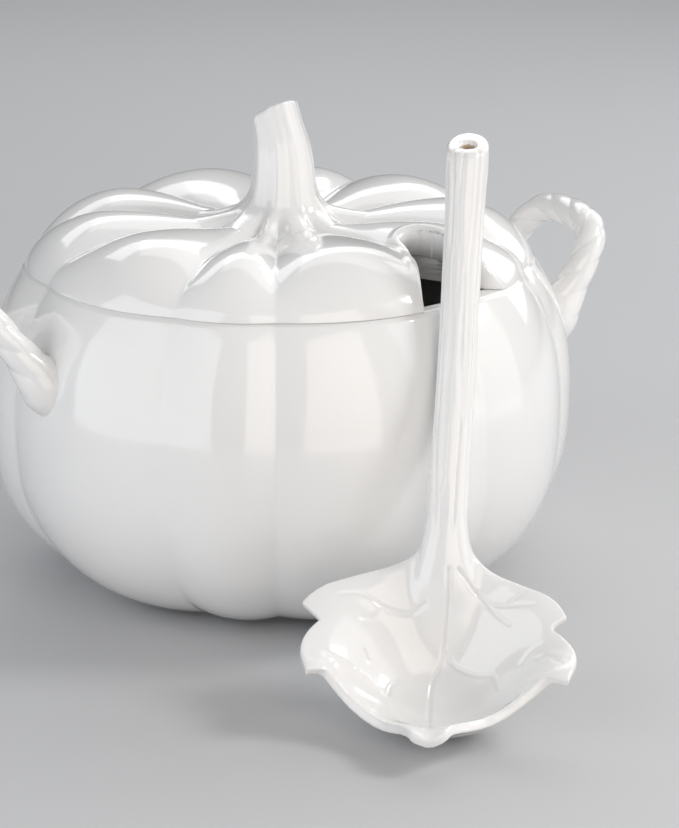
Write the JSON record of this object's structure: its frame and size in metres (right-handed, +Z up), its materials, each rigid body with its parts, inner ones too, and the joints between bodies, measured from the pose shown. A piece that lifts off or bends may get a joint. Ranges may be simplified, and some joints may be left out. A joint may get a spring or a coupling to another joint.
{
  "type": "soup tureen",
  "caption": "Pumpkin-shaped glazed ceramic soup tureen with a lift-off lid notched for the leaf-shaped ladle that leans on it, and twisted loop handles.",
  "frame": {"origin": "on the table under the middle of the bowl's foot ring", "axes": "+Z up along the bowl's axis; the loop handles lie along X; the ladle leans on the front, towards -Y"},
  "size_m": [0.3568, 0.4122, 0.2468],
  "materials": {
    "bowl_glaze": "glossy white glaze",
    "handle_glaze": "glossy white glaze",
    "lid_glaze": "glossy white glaze",
    "ladle_glaze": "glossy white glaze"
  },
  "bodies": {
    "tureen": {"bowl": "bowl_glaze", "handle_left": "handle_glaze", "handle_right": "handle_glaze"},
    "lid_set": {"lid": "lid_glaze", "lid_stem": "lid_glaze"},
    "ladle": {"ladle_scoop": "ladle_glaze", "ladle_handle": "ladle_glaze"}
  },
  "joints": [
    {"name": "lid_lift", "type": "slide", "parent": "tureen", "child": "lid_set", "axis": [0, 0, 1], "range_m": [0, 0.12]},
    {"name": "ladle_lift", "type": "slide", "parent": "tureen", "child": "ladle", "axis": [-0.3851, -0.593, 0.7071], "range_m": [0, 0.15]}
  ]
}
